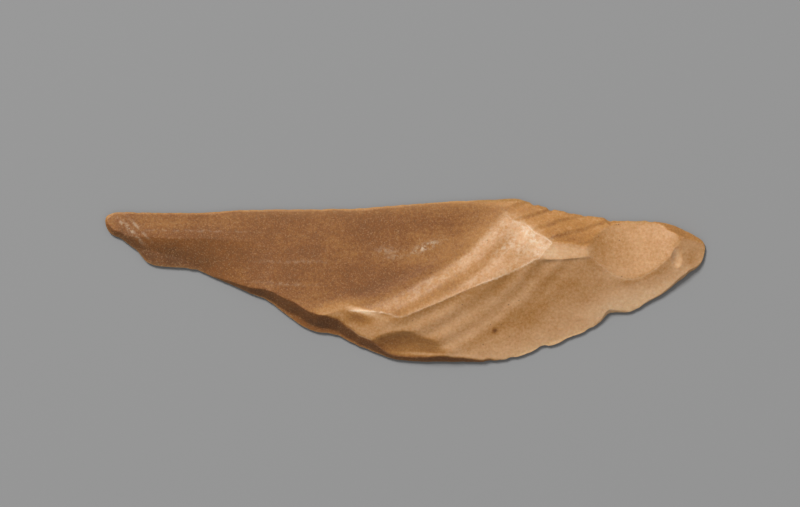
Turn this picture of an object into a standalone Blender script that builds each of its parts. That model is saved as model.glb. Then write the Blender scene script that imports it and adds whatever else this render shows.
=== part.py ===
"""A flint sickle blade, knapped from one flake and lying on its smooth flake face.

Sizes and heights are in millimetres. The outline and the scars are placed in parts of the blade, a hundred along
its length, counted from the blunt end and from the lowest point of the outline, so they keep their proportions when
a size changes. The finished solid is in metres, Z up, with its origin at the bottom centre of its bounding box.
"""

import bmesh
import bpy
import numpy as np

OBJECT = "flint_sickle_blade"
NODE = "flint_blade"

# Overall sizes
LENGTH = 100.0
WIDTH = 27.2
RIM_HEIGHT = 0.5
METRE = 0.001

# The same two sizes in parts of the blade
FULL_LENGTH = 100.0
FULL_WIDTH = 27.2

# Outline, as (along, across): the upper edge is the long straight one, the lower edge swells to the broadest part
BLUNT_END = (0.0, 23.5)
POINTED_END = (FULL_LENGTH, 19.0)
UPPER_EDGE = [
    BLUNT_END, (0.15, 24.1), (0.9, 24.65), (2.0, 24.95), (6.0, 24.85), (14.0, 24.85), (19.0, 25.05), (23.0, 25.3),
    (36.0, 25.45), (42.0, 25.55), (49.0, 26.1), (55.0, 26.55), (66.0, 27.1), (68.2, FULL_WIDTH), (70.5, 26.65),
    (73.2, 25.85), (76.0, 25.15), (80.0, 24.4), (83.2, 24.0), (84.4, 23.55), (89.5, 23.5), (94.0, 22.95),
    (96.6, 21.9), (98.3, 21.0), (99.85, 19.7), POINTED_END,
]
LOWER_EDGE = [
    BLUNT_END, (0.15, 22.6), (1.2, 21.2), (2.6, 20.6), (3.4, 19.95), (5.0, 18.85), (7.2, 16.5), (8.9, 15.95),
    (14.4, 15.55), (18.3, 14.05), (22.6, 12.15), (27.6, 9.9), (30.6, 7.6), (33.0, 5.9), (35.5, 5.0), (38.6, 4.5),
    (41.2, 3.15), (44.0, 2.05), (49.0, 0.35), (56.0, 0.02), (62.0, 0.0), (65.5, 0.25), (69.5, 1.05), (72.4, 2.3),
    (74.5, 2.75), (77.6, 4.05), (80.3, 5.15), (82.4, 6.6), (84.4, 8.2), (87.6, 8.35), (90.0, 9.75), (93.0, 11.4),
    (96.0, 13.8), (98.2, 15.35), (99.4, 16.6), (99.9, 18.2), POINTED_END,
]

# Retouch nicks bitten into the two edges, as (along, breadth, depth)
UPPER_NICKS = [
    (71.4, 1.3, 0.28), (74.2, 1.2, 0.35), (77.3, 1.6, 0.15), (79.9, 1.2, 0.15), (83.9, 1.5, 0.2), (88.0, 2.2, 0.08),
    (90.8, 1.4, 0.1),
]
LOWER_NICKS = [
    (26.5, 2.0, 0.12), (37.0, 2.0, 0.1), (64.0, 2.0, 0.1), (67.6, 1.6, 0.2), (72.9, 2.0, 0.28), (77.2, 2.2, 0.15),
    (80.6, 1.6, 0.22), (88.2, 1.6, 0.12), (97.4, 1.4, 0.2),
]

# The long scar: a thin plane under the straight edge that climbs in rings about the point it was struck from
LONG_SCAR_HEIGHT = 0.62
LONG_SCAR_CLIMB = 0.115
LONG_SCAR_LINE = (25.0, 0.031)
STRIKE_POINT = (31.5, 52.0)
RINGS_START = 43.4
RINGS_CLIMB = 0.285
RINGS_EASE = 0.7
RING_SPACING = 4.0
RING_FIRST = 45.4
RING_DEPTH = 0.14

# The thinner facet below the left end of the long scar
LEFT_FACET_LINE = (20.9, -0.045, 6.6)
LEFT_FACET_FALL = 0.42
LEFT_FACET_FULL = 8.0
LEFT_FACET_FADE = 20.0

# The other scars are shallow dishes: (along, across, height), rise along and across, bow along and across
DISHES = {
    "lower face": ((66.0, 8.0, 2.37), (-0.088, 0.262), (0.002, 0.008)),
    "lower face, left corner": ((46.0, 7.7, 3.8), (0.42, 0.26), (0.07, 0.0)),
    "lower lens": ((50.5, 3.0, 1.8), (-0.02, 0.50), (0.03, 0.20)),
    "lower face, right end": ((91.0, 12.0, 1.15), (-0.13, 0.29), (0.0, 0.0)),
    "upper retouch, left": ((68.0, 26.3, 0.85), (0.0, -0.13), (0.0, 0.20)),
    "upper retouch, middle": ((74.0, 25.2, 1.1), (-0.02, -0.53), (0.0, 0.03)),
    "upper retouch, right": ((80.0, 23.6, 1.25), (-0.08, -0.66), (0.02, 0.0)),
    "crest tongue": ((76.0, 18.0, 4.35), (-0.08, -0.03), (0.01, 0.02)),
    "broad tip scar": ((88.0, 18.5, 1.5), (-0.08, -0.155), (0.068, -0.02)),
    "point facet": ((96.7, 18.3, 1.5), (-0.36, 0.03), (0.0, 0.0)),
}

# The small step where the lower face stops short under the crest tongue
STEP_LEFT = (72.4, 16.45)
STEP_RIGHT = 81.2
STEP_LEAN = 0.085
STEP_CLIMB = 1.2

# Low rings on the lower face and low treads on the upper retouch scars
LOWER_RING_SPACING = 3.1
LOWER_RING_FIRST = 51.5
LOWER_RING_DEPTH = 0.05
LOWER_RING_END = 63.0
LOWER_RING_FADE = 6.0
TREAD_SPACING = 2.35
TREAD_DEPTH = 0.13
TREAD_LEAN = (0.295, -0.955)
TREAD_SHIFT = 0.15
TREAD_RISER = 0.34

# Steepness of the narrow bevels beside the lower and the upper edge, as (along, steepness)
LOWER_BEVEL = [
    (0.0, 1.1), (8.0, 1.1), (9.5, 0.5), (13.0, 0.45), (16.0, 1.0), (24.0, 1.2), (33.0, 1.1), (39.0, 0.95),
    (45.0, 1.0), (51.0, 1.1), (66.0, 1.0), (70.0, 0.8), (FULL_LENGTH, 0.8),
]
UPPER_BEVEL = [
    (0.0, 0.6), (3.0, 0.5), (8.0, 0.35), (60.0, 0.35), (66.0, 0.6), (70.0, 1.7), (84.0, 1.7), (90.0, 1.2),
    (FULL_LENGTH, 1.0),
]
END_BEVEL = 0.9
SLANT_REACH = 1.0
RIDGE_ROUNDING = 0.05

# The smooth underside rolls up to the rim from a flat patch with three far corners, whose sides are slightly hollow,
# so that the blade rests firmly on the corners. Its two long sides, as (along, across):
REST_START = 18.0
REST_END = 90.0
REST_LOWER = [
    BLUNT_END, (9.0, 20.4), (REST_START, 21.3), (39.0, 12.8), (60.0, 3.8), (75.0, 11.9), (REST_END, 19.5),
    (95.0, 18.2), POINTED_END,
]
REST_UPPER = [
    BLUNT_END, (9.0, 22.2), (REST_START, 21.3), (54.0, 20.1), (REST_END, 19.5), (95.0, 20.1), POINTED_END,
]
# The share of the rows of the underside that roll up on each side
ROLL_SHARE = 0.25

# Fineness of the two faces, in columns along the blade and rows across it
COLUMNS = 112
TOP_ROWS = 26
UNDERSIDE_ROWS = 12
END_CROWDING = 0.55
EDGE_CROWDING = 0.5
WELD = 0.002 * METRE


def curve(points, x):
    """A smooth line through the points that never overshoots them."""
    along, across = np.array(points, float).T
    run = np.diff(along)
    slope = np.diff(across) / run
    lean = np.zeros(len(along))
    lean[0] = slope[0]
    lean[-1] = slope[-1]
    for i in range(1, len(along) - 1):
        if slope[i - 1] * slope[i] > 0.0:
            near = 2.0 * run[i] + run[i - 1]
            far = run[i] + 2.0 * run[i - 1]
            lean[i] = (near + far) / (near / slope[i - 1] + far / slope[i])
    i = np.clip(np.searchsorted(along, x) - 1, 0, len(run) - 1)
    s = (x - along[i]) / run[i]
    start = across[i] * (1.0 + 2.0 * s) * (1.0 - s) ** 2 + run[i] * lean[i] * s * (1.0 - s) ** 2
    end = across[i + 1] * s * s * (3.0 - 2.0 * s) - run[i] * lean[i + 1] * s * s * (1.0 - s)
    return start + end


def bites(nicks, x):
    """How far the nicks cut into an edge."""
    depth = np.zeros_like(x)
    for along, breadth, deepest in nicks:
        depth += deepest * np.clip(1.0 - (2.0 * (x - along) / breadth) ** 2, 0.0, None)
    return depth


def upper_edge(x):
    return curve(UPPER_EDGE, x) - bites(UPPER_NICKS, x)


def lower_edge(x):
    return curve(LOWER_EDGE, x) + bites(LOWER_NICKS, x)


def slant(points, x):
    """Turns a distance across the blade into the distance square to a slanting edge."""
    before = np.clip(x - SLANT_REACH, 0.0, FULL_LENGTH)
    after = np.clip(x + SLANT_REACH, 0.0, FULL_LENGTH)
    lean = (curve(points, after) - curve(points, before)) / (after - before)
    return 1.0 / np.sqrt(1.0 + lean * lean)


def edge_distances(x, y):
    """Distances from the lower edge, the upper edge and the nearer end."""
    lower = (y - lower_edge(x)) * slant(LOWER_EDGE, x)
    upper = (upper_edge(x) - y) * slant(UPPER_EDGE, x)
    end = np.minimum(x, FULL_LENGTH - x)
    return lower, upper, end


def blend(x, start, width):
    """A smooth switch from 0 to 1 about a start."""
    return 1.0 / (1.0 + np.exp(-np.clip((x - start) / width, -60.0, 60.0)))


def dish(name, x, y):
    (along, across, height), (rise_x, rise_y), (bow_x, bow_y) = DISHES[name]
    dx = x - along
    dy = y - across
    return height + rise_x * dx + rise_y * dy + 0.5 * bow_x * dx * dx + 0.5 * bow_y * dy * dy


def ring_distance(x, y):
    return np.hypot(x - STRIKE_POINT[0], y - STRIKE_POINT[1])


def long_scar(x, y):
    r = ring_distance(x, y)
    plane = LONG_SCAR_HEIGHT + LONG_SCAR_CLIMB * (LONG_SCAR_LINE[0] + LONG_SCAR_LINE[1] * x - y)
    climb = RINGS_CLIMB * RINGS_EASE * np.logaddexp(0.0, (r - RINGS_START) / RINGS_EASE)
    rings = RING_DEPTH * np.sin(2.0 * np.pi * (r - RING_FIRST) / RING_SPACING) * blend(r, RINGS_START, 0.5)
    return plane + climb + rings


def left_facet(x, y):
    line = LEFT_FACET_LINE[0] + LEFT_FACET_LINE[1] * (x - LEFT_FACET_LINE[2])
    share = np.clip(1.0 - (x - LEFT_FACET_FULL) / LEFT_FACET_FADE, 0.0, 1.0)
    return long_scar(x, y) - np.clip(line - y, 0.0, None) * LEFT_FACET_FALL * share


def lower_face(x, y):
    r = ring_distance(x, y)
    rings = LOWER_RING_DEPTH * np.sin(2.0 * np.pi * (r - LOWER_RING_FIRST) / LOWER_RING_SPACING)
    rings *= np.clip((LOWER_RING_END - r) / LOWER_RING_FADE, 0.0, 1.0)
    past_step = np.clip(y - STEP_LEFT[1] - STEP_LEAN * (x - STEP_LEFT[0]), 0.0, None)
    reach = blend(x, STEP_LEFT[0] + 0.8, 0.5) * blend(-x, -STEP_RIGHT, 0.4)
    return dish("lower face", x, y) + rings + STEP_CLIMB * past_step * reach


def treads(x, y):
    """Low steps across the upper retouch scars, each a long tread and a short riser."""
    phase = (TREAD_LEAN[0] * x + TREAD_LEAN[1] * y) / TREAD_SPACING - TREAD_SHIFT
    phase = phase % 1.0
    tread = phase / (1.0 - TREAD_RISER)
    riser = (1.0 - phase) / TREAD_RISER
    return TREAD_DEPTH * (np.minimum(tread, riser) - 0.5)


def bevels(x, y):
    lower, upper, end = edge_distances(x, y)
    lower_steepness = np.interp(x, *np.array(LOWER_BEVEL).T)
    upper_steepness = np.interp(x, *np.array(UPPER_BEVEL).T)
    return [
        RIM_HEIGHT + lower_steepness * lower,
        RIM_HEIGHT + upper_steepness * upper,
        RIM_HEIGHT + END_BEVEL * end,
    ]


def scars(x, y):
    """Heights of every scar over the whole blade; the lowest at a point is the one that is seen there."""
    surfaces = [left_facet(x, y), lower_face(x, y)]
    for name in DISHES:
        if name != "lower face":
            step = treads(x, y) if name.startswith("upper retouch") else 0.0
            surfaces.append(dish(name, x, y) + step)
    return surfaces + bevels(x, y)


def knapped_height(x, y):
    """The lowest scar at each point, with the ridges between scars very slightly rounded."""
    surfaces = scars(x, y)
    height = surfaces[0]
    for other in surfaces[1:]:
        share = np.clip(0.5 + 0.5 * (other - height) / RIDGE_ROUNDING, 0.0, 1.0)
        height = other + (height - other) * share - RIDGE_ROUNDING * share * (1.0 - share)
    return np.maximum(height, RIM_HEIGHT)


def underside(x, share):
    """The underside: rows that run from the outline to the sides of the flat patch, then straight across it."""
    lower = lower_edge(x)
    upper = upper_edge(x)
    rest_lower = np.interp(x, *np.array(REST_LOWER).T)
    rest_upper = np.interp(x, *np.array(REST_UPPER).T)
    below = np.clip(share / ROLL_SHARE, 0.0, 1.0)
    middle = np.clip((share - ROLL_SHARE) / (1.0 - 2.0 * ROLL_SHARE), 0.0, 1.0)
    above = np.clip((share - 1.0 + ROLL_SHARE) / ROLL_SHARE, 0.0, 1.0)
    y = lower + (rest_lower - lower) * below + (rest_upper - rest_lower) * middle + (upper - rest_upper) * above
    roll = np.maximum(1.0 - below, above) ** 2
    before = np.clip((REST_START - x) / REST_START, 0.0, 1.0)
    after = np.clip((x - REST_END) / (FULL_LENGTH - REST_END), 0.0, 1.0)
    return y, RIM_HEIGHT * np.maximum.reduce([roll, before, after])


def crowd(s, share):
    """Spreads even steps so that they crowd toward both ends."""
    return (1.0 - share) * s + share * 0.5 * (1.0 - np.cos(np.pi * s))


def rows_on_ridges(x, y):
    """Moves the nearest row of each column onto every ridge that the column crosses."""
    for column in range(1, COLUMNS):
        fine = np.linspace(y[0, column], y[-1, column], 500)
        seen = np.argmin(np.array(scars(np.full_like(fine, x[0, column]), fine)), axis=0)
        taken = {0, TOP_ROWS}
        for crossing in np.nonzero(np.diff(seen))[0]:
            ridge = 0.5 * (fine[crossing] + fine[crossing + 1])
            row = int(np.argmin(np.abs(y[:, column] - ridge)))
            if row not in taken:
                y[row, column] = ridge
                taken.add(row)
    return y


def worked_face(x, share):
    """The worked face: rows that crowd toward the two edges and lie along the ridges."""
    share = crowd(share, EDGE_CROWDING)
    y = rows_on_ridges(x, lower_edge(x) + share * (upper_edge(x) - lower_edge(x)))
    return y, knapped_height(x, y)


def face_sheet(bm, rows, surface):
    """One face of the blade: an even grid drawn out to the outline and raised to its heights."""
    sheet = bmesh.ops.create_grid(bm, x_segments=COLUMNS, y_segments=rows, size=1.0)["verts"]
    place = np.array([v.co[:2] for v in sheet])
    column = np.rint((place[:, 0] + 1.0) * 0.5 * COLUMNS).astype(int)
    row = np.rint((place[:, 1] + 1.0) * 0.5 * rows).astype(int)
    along = FULL_LENGTH * crowd(np.arange(COLUMNS + 1) / COLUMNS, END_CROWDING)
    x, share = np.meshgrid(along, np.arange(rows + 1) / rows)
    y, z = surface(x, share)
    z[0, :] = z[-1, :] = RIM_HEIGHT
    z[:, 0] = z[:, -1] = RIM_HEIGHT
    x = (x / FULL_LENGTH - 0.5) * LENGTH * METRE
    y = (y / FULL_WIDTH - 0.5) * WIDTH * METRE
    z = z * METRE
    for v, i, j in zip(sheet, row, column):
        v.co = (x[i, j], y[i, j], z[i, j])


def split_along_ridges(bm):
    """Cuts every four-sided face on its higher diagonal, so that ridges stay crisp."""
    for face in list(bm.faces):
        if len(face.verts) == 4:
            a, b, c, d = face.verts
            if a.co.z + c.co.z > b.co.z + d.co.z:
                bmesh.utils.face_split(face, a, c)
            else:
                bmesh.utils.face_split(face, b, d)


def blade_mesh():
    bm = bmesh.new()
    face_sheet(bm, TOP_ROWS, worked_face)
    face_sheet(bm, UNDERSIDE_ROWS, underside)
    bmesh.ops.remove_doubles(bm, verts=bm.verts, dist=WELD)
    bmesh.ops.dissolve_degenerate(bm, edges=bm.edges, dist=WELD)
    split_along_ridges(bm)
    bmesh.ops.recalc_face_normals(bm, faces=bm.faces)
    mesh = bpy.data.meshes.new(NODE)
    bm.to_mesh(mesh)
    bm.free()
    return mesh


def flint():
    material = bpy.data.materials.new("flint")
    material.use_nodes = True
    shader = material.node_tree.nodes["Principled BSDF"]
    shader.inputs["Base Color"].default_value = (0.38, 0.20, 0.09, 1.0)
    shader.inputs["Roughness"].default_value = 0.5
    shader.inputs["Metallic"].default_value = 0.0
    return material


def build():
    for old in list(bpy.data.objects):
        bpy.data.objects.remove(old, do_unlink=True)
    group = bpy.data.collections.new(OBJECT)
    bpy.context.scene.collection.children.link(group)
    blade = bpy.data.objects.new(NODE, blade_mesh())
    group.objects.link(blade)
    blade.data.materials.append(flint())
    blade.data.shade_smooth()
    blade.data.set_sharp_from_angle(angle=0.44)


build()
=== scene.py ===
"""The flint sickle blade as it looks: the worked face in fine relief, its flint, a pale floor and soft light.

Sizes and heights are in millimetres. The outline and the scars are placed in parts of the blade, a hundred
along its length, counted from the blunt end and from the lowest point of the outline, as in the part's own
source.
"""

import math

import bmesh
import bpy
import numpy as np
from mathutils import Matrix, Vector


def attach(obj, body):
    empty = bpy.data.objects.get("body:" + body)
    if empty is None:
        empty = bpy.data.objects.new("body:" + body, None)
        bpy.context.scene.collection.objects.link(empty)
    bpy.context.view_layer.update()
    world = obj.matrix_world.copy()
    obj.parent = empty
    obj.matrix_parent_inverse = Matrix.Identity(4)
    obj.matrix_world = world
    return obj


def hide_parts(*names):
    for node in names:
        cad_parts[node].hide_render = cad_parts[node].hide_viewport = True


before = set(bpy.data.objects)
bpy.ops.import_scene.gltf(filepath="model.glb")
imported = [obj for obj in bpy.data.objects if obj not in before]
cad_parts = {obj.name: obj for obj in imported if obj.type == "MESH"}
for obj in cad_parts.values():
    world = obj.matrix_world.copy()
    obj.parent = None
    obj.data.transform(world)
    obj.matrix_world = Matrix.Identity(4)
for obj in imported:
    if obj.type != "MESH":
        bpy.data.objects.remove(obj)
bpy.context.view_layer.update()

# Overall sizes
LENGTH = 100.0
WIDTH = 27.2
RIM_HEIGHT = 0.5
METRE = 0.001

# The same two sizes in parts of the blade
FULL_LENGTH = 100.0
FULL_WIDTH = 27.2

# Outline, as (along, across): a long, nearly straight upper edge and a lower one that swells past the middle
BLUNT_END = (0.0, 23.5)
POINTED_END = (FULL_LENGTH, 19.0)
UPPER_EDGE = [
    BLUNT_END, (0.15, 24.1), (0.9, 24.65), (2.0, 24.95), (6.0, 24.85), (14.0, 24.85), (19.0, 25.05),
    (23.0, 25.3), (36.0, 25.45), (42.0, 25.55), (49.0, 26.1), (55.0, 26.55), (66.0, 27.1), (68.2, FULL_WIDTH),
    (70.5, 26.65), (73.2, 25.85), (76.0, 25.15), (80.0, 24.4), (83.2, 24.0), (84.4, 23.55), (89.5, 23.5),
    (94.0, 22.95), (96.6, 21.9), (98.3, 21.0), (99.85, 19.7), POINTED_END,
]
LOWER_EDGE = [
    BLUNT_END, (0.15, 22.6), (1.2, 21.2), (2.6, 20.6), (3.4, 19.95), (5.0, 18.85), (7.2, 16.5), (8.9, 15.95),
    (14.4, 15.55), (18.3, 14.05), (22.6, 12.15), (27.6, 9.9), (30.6, 7.6), (33.0, 5.9), (35.5, 5.0),
    (38.6, 4.5), (41.2, 3.15), (44.0, 2.05), (49.0, 0.35), (56.0, 0.02), (62.0, 0.0), (65.5, 0.25),
    (69.5, 1.05), (72.4, 2.3), (74.5, 2.75), (77.6, 4.05), (80.3, 5.15), (82.4, 6.6), (84.4, 8.2),
    (87.6, 8.35), (90.0, 9.75), (93.0, 11.4), (96.0, 13.8), (98.2, 15.35), (99.4, 16.6), (99.9, 18.2),
    POINTED_END,
]
# The slope of an edge is measured over this reach to both sides
SLANT_REACH = 1.0

# Retouch nicks bitten into the two edges, as (along, breadth, depth)
UPPER_NICKS = [
    (71.4, 1.3, 0.28), (74.2, 1.2, 0.35), (77.3, 1.6, 0.15), (79.9, 1.2, 0.15), (83.9, 1.5, 0.2),
    (88.0, 2.2, 0.08), (90.8, 1.4, 0.1),
]
LOWER_NICKS = [
    (26.5, 2.0, 0.12), (37.0, 2.0, 0.1), (64.0, 2.0, 0.1), (67.6, 1.6, 0.2), (72.9, 2.0, 0.28),
    (77.2, 2.2, 0.15), (80.6, 1.6, 0.22), (88.2, 1.6, 0.12), (97.4, 1.4, 0.2),
]

# Fine wear along the edges: (size of the chips, depth), fading out over this length at both ends
EDGE_WEAR = [(2.4, 0.05), (0.9, 0.045), (0.35, 0.02)]
WEAR_FADE = 3.0

# The long scar: a thin plane under the straight edge that climbs in rings about the point where it was struck
LONG_SCAR_HEIGHT = 0.62
LONG_SCAR_CLIMB = 0.115
LONG_SCAR_LINE = (25.0, 0.031)
STRIKE_POINT = (31.5, 52.0)
RINGS_START = 43.4
RINGS_CLIMB = 0.285
RINGS_EASE = 0.9
RING_SPACING = 4.0
RING_FIRST = 45.3
RING_DEPTH = 0.14
RINGS_FADE_IN = 0.5
# The rings are lower near the upper edge, up to this turn in degrees, and grow over this much turn
RINGS_AT_TOP = 0.4
RINGS_TURN = 43.5
RINGS_TURN_EASE = 1.5

# The thinner facet below the left end of the long scar
LEFT_FACET_LINE = (20.9, -0.045, 6.6)
LEFT_FACET_FALL = 0.42
LEFT_FACET_FULL = 8.0
LEFT_FACET_FADE = 20.0

# The other scars are shallow dishes: (along, across, height), rise along and across, bow along and across
DISHES = {
    "lower face": ((66.0, 8.0, 2.37), (-0.088, 0.262), (0.002, 0.008)),
    "lower face, left corner": ((46.0, 7.7, 3.8), (0.42, 0.26), (0.07, 0.0)),
    "lower lens": ((50.5, 3.0, 1.8), (0.045, 0.50), (0.012, 0.20)),
    "lower face, right end": ((91.0, 12.0, 1.15), (-0.13, 0.29), (0.0, 0.0)),
    "upper retouch, left": ((68.0, 26.3, 0.85), (0.0, -0.13), (0.0, 0.20)),
    "upper retouch, middle": ((74.0, 25.2, 1.1), (-0.02, -0.53), (0.0, 0.03)),
    "upper retouch, right": ((80.0, 23.6, 1.25), (-0.08, -0.66), (0.02, 0.0)),
    "crest tongue": ((76.0, 18.0, 4.35), (-0.08, -0.03), (0.01, 0.02)),
    "broad tip scar": ((88.0, 18.5, 1.5), (-0.08, -0.155), (0.068, -0.02)),
    "tip sliver": ((95.6, 16.8, 1.60), (0.20, 0.10), (0.90, 0.25)),
    "point facet": ((96.7, 18.3, 1.8), (-0.40, 0.03), (0.0, 0.0)),
}

# The small step where the lower face stops short under the crest tongue
STEP_LEFT = (72.4, 16.45)
STEP_RIGHT = 81.2
STEP_LEAN = 0.085
STEP_CLIMB = 1.2
STEP_LEFT_INSET = 0.8
STEP_LEFT_EASE = 0.5
STEP_RIGHT_EASE = 0.4

# Low rings on the lower face: their wander and unevenness, as (size of the wave, amount)
LOWER_RING_SPACING = 2.95
LOWER_RING_FIRST = 53.05
LOWER_RING_DEPTH = 0.05
LOWER_RING_END = 60.0
LOWER_RING_FADE = 3.5
LOWER_RING_WANDER = [(7.0, 0.45)]
LOWER_RING_UNEVENNESS = [(9.0, 0.7)]

# Low treads on the upper retouch scars: each is a long tread and a short riser
TREAD_SPACING = 2.35
TREAD_DEPTH = 0.27
TREAD_LEAN = (0.295, -0.955)
TREAD_SHIFT = 0.15
TREAD_RISER = 0.34
TREADS_BEGIN = 0.6

# Steepness of the narrow bevels beside the lower and the upper edge, as (along, steepness)
LOWER_BEVEL = [
    (0.0, 0.7), (7.0, 0.7), (9.5, 0.5), (13.0, 0.45), (16.0, 1.0), (24.0, 1.2), (33.0, 1.1), (39.0, 0.95),
    (45.0, 1.0), (51.0, 1.1), (66.0, 1.2), (70.0, 0.9), (86.0, 0.9), (91.0, 1.7), (FULL_LENGTH, 1.9),
]
UPPER_BEVEL = [
    (0.0, 0.6), (3.0, 0.8), (8.0, 1.2), (60.0, 1.2), (66.0, 1.4), (70.0, 1.7), (84.0, 1.7), (90.0, 1.2),
    (FULL_LENGTH, 1.0),
]
END_BEVEL = 0.9

# The back bevel ends here, and the sharp retouched edge begins
BACK_END = 66.0
BACK_FADE = 1.0

# How uneven the bevels are: along the back, how much more along the retouched edge, and along the upper edge
FACET_SIZE = 1.4
BACK_FACETS = 0.06
RETOUCH_FACETS = 0.34
UPPER_FACET_SIZE = 1.3
UPPER_FACETS = 0.25
FACET_STRETCH = 0.5

# The thin lip below the back bevel, as (along, breadth), its steepness and its waves, as (size, amount)
LIP = [
    (0.0, 0.0), (24.0, 0.0), (29.0, 0.35), (32.0, 0.8), (38.0, 0.7), (42.0, 0.3), (48.0, 0.0),
    (FULL_LENGTH, 0.0),
]
LIP_STEEPNESS = 0.22
LIP_WAVES = [(1.9, 0.3)]

# How softly each scar meets the ones before it: crisp at the crest and at the bevels, soft where it is worn
LEFT_CORNER_ROUNDING = 2.4
RIGHT_END_ROUNDING = 0.6
ROUNDING = {
    "long scar": 0.03,
    "lower lens": 0.10,
    "upper retouch, left": 0.10,
    "upper retouch, middle": 0.12,
    "upper retouch, right": 0.14,
    "crest tongue": 0.05,
    "broad tip scar": 0.18,
    "tip sliver": 0.05,
    "point facet": 0.95,
    "lower bevel": 0.07,
    "upper bevel": 0.10,
    "end bevel": 0.08,
}

# How far the scars wander from their true lines, as (size of the wave, amount), once they are well inside
WANDER = [(9.0, 0.22), (2.6, 0.10), (0.8, 0.03)]
WANDER_INSET = 1.5
# Low relief laid over every scar: (size of the wave, height)
GRAIN = [(3.0, 0.010), (0.9, 0.005), (0.35, 0.003)]
# Fine lances that run out from the strike point toward the crest: their width is a turn, in radians
LANCE_WIDTH = 0.011
LANCE_LENGTH = 5.0
LANCE_DEPTH = 0.022

# The smooth underside: flat in the middle, rolling up to the rim, with faint rings
UNDERSIDE_ROLL = 3.2
UNDERSIDE_STRIKE = (-6.0, 20.0)
UNDERSIDE_RING_SPACING = 7.0
UNDERSIDE_RING_DEPTH = 0.04
UNDERSIDE_RING_WANDER = [(9.0, 0.8)]

# Fineness of the two faces, in columns along the blade and rows across it
COLUMNS = 660
TOP_ROWS = 112
RIDGE_SAMPLES = 700
UNDERSIDE_ROWS = 36
END_CROWDING = 0.45
EDGE_CROWDING = 0.35
WELD = 0.002 * METRE
SHARP_ANGLE = 32.0

# Camera, light and floor, in metres
SENSOR = 36.0
LENS = 120.0
VIEW_WIDTH = 0.13305
VIEW_CENTRE = (-0.00086, 0.00447, 0.0015)
NEAREST_SEEN = 0.01
FARTHEST_SEEN = 10.0
LAMP_PLACE = (-0.96, 1.54, 1.64)
LAMP_SIZE = 0.74
LAMP_POWER = 57.0
SURROUND = 0.38
FLOOR_HALF = 2.0
FLOOR_DROP = 0.00002
FLOOR_GREY = (0.30, 0.30, 0.30, 1.0)
FLOOR_ROUGHNESS = 0.85
FLOOR_SPECULAR = 0.1

# Each pattern of the surface has a seed of its own
UPPER_WEAR_SEED = 11
LOWER_WEAR_SEED = 23
LOWER_BEVEL_SEED = 31
UPPER_BEVEL_SEED = 37
WANDER_ALONG_SEED = 41
LIP_SEED = 43
WANDER_ACROSS_SEED = 53
GRAIN_SEED = 61
LANCE_SEED = 71
TONE_RING_SEED = 83
RISER_ALONG_SEED = 91
RISER_ACROSS_SEED = 97
RISER_SEED = 101
LOWER_RING_WANDER_SEED = 103
LOWER_RING_SEED = 107
RING_TONE_SEED = 113
UNDERSIDE_SEED = 127

# Large odd numbers that mix a point and a seed into a value that looks random, and the bits that are kept
MIX_ALONG = 374761393
MIX_ACROSS = 668265263
MIX_SEED = 974634777
MIX_LAST = 1274126177
BITS_32 = 0xFFFFFFFF
BITS_16 = 0xFFFF

# A smooth switch stays flat beyond this many of its widths
BLEND_REACH = 60.0


def lattice(i, j, seed):
    """A fixed value between -1 and 1 for each point of a square lattice, another one for each seed."""
    mixed = i.astype(np.int64) * MIX_ALONG + j.astype(np.int64) * MIX_ACROSS + seed * MIX_SEED
    mixed = mixed & BITS_32
    mixed = ((mixed ^ (mixed >> 13)) * MIX_LAST) & BITS_32
    mixed = mixed ^ (mixed >> 16)
    return (mixed & BITS_16) / (0.5 * BITS_16) - 1.0


def noise(x, y, size, seed):
    """Smooth lattice noise between -1 and 1 whose waves are about the size given."""
    u = x / size
    v = y / size
    i = np.floor(u)
    j = np.floor(v)
    s = u - i
    t = v - j
    s = s * s * (3.0 - 2.0 * s)
    t = t * t * (3.0 - 2.0 * t)
    below = lattice(i, j, seed) * (1.0 - s) + lattice(i + 1, j, seed) * s
    above = lattice(i, j + 1, seed) * (1.0 - s) + lattice(i + 1, j + 1, seed) * s
    return below * (1.0 - t) + above * t


def layered(waves, x, y, seed):
    """Waves of several sizes laid over each other."""
    return sum(amount * noise(x, y, size, seed + k) for k, (size, amount) in enumerate(waves))


def between(points, x):
    """Straight lines through the points."""
    return np.interp(x, *np.array(points).T)


def curve(points, x):
    """A smooth line through the points that never overshoots them."""
    along, across = np.array(points, float).T
    run = np.diff(along)
    slope = np.diff(across) / run
    lean = np.zeros(len(along))
    lean[0] = slope[0]
    lean[-1] = slope[-1]
    for i in range(1, len(along) - 1):
        if slope[i - 1] * slope[i] > 0.0:
            near = 2.0 * run[i] + run[i - 1]
            far = run[i] + 2.0 * run[i - 1]
            lean[i] = (near + far) / (near / slope[i - 1] + far / slope[i])
    i = np.clip(np.searchsorted(along, x) - 1, 0, len(run) - 1)
    s = (x - along[i]) / run[i]
    start = across[i] * (1.0 + 2.0 * s) * (1.0 - s) ** 2 + run[i] * lean[i] * s * (1.0 - s) ** 2
    end = across[i + 1] * s * s * (3.0 - 2.0 * s) - run[i] * lean[i + 1] * s * s * (1.0 - s)
    return start + end


def bites(nicks, x):
    """How far the nicks cut into an edge."""
    depth = np.zeros_like(x)
    for along, breadth, deepest in nicks:
        depth += deepest * np.clip(1.0 - (2.0 * (x - along) / breadth) ** 2, 0.0, None)
    return depth


def wear(x, seed):
    """Fine chipping along an edge, fading out at the two ends."""
    ends = np.clip(np.minimum(x, FULL_LENGTH - x) / WEAR_FADE, 0.0, 1.0)
    return ends * layered(EDGE_WEAR, x, np.zeros_like(x), seed)


def upper_edge(x):
    return curve(UPPER_EDGE, x) - bites(UPPER_NICKS, x) - wear(x, UPPER_WEAR_SEED)


def lower_edge(x):
    return curve(LOWER_EDGE, x) + bites(LOWER_NICKS, x) + wear(x, LOWER_WEAR_SEED)


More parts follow.
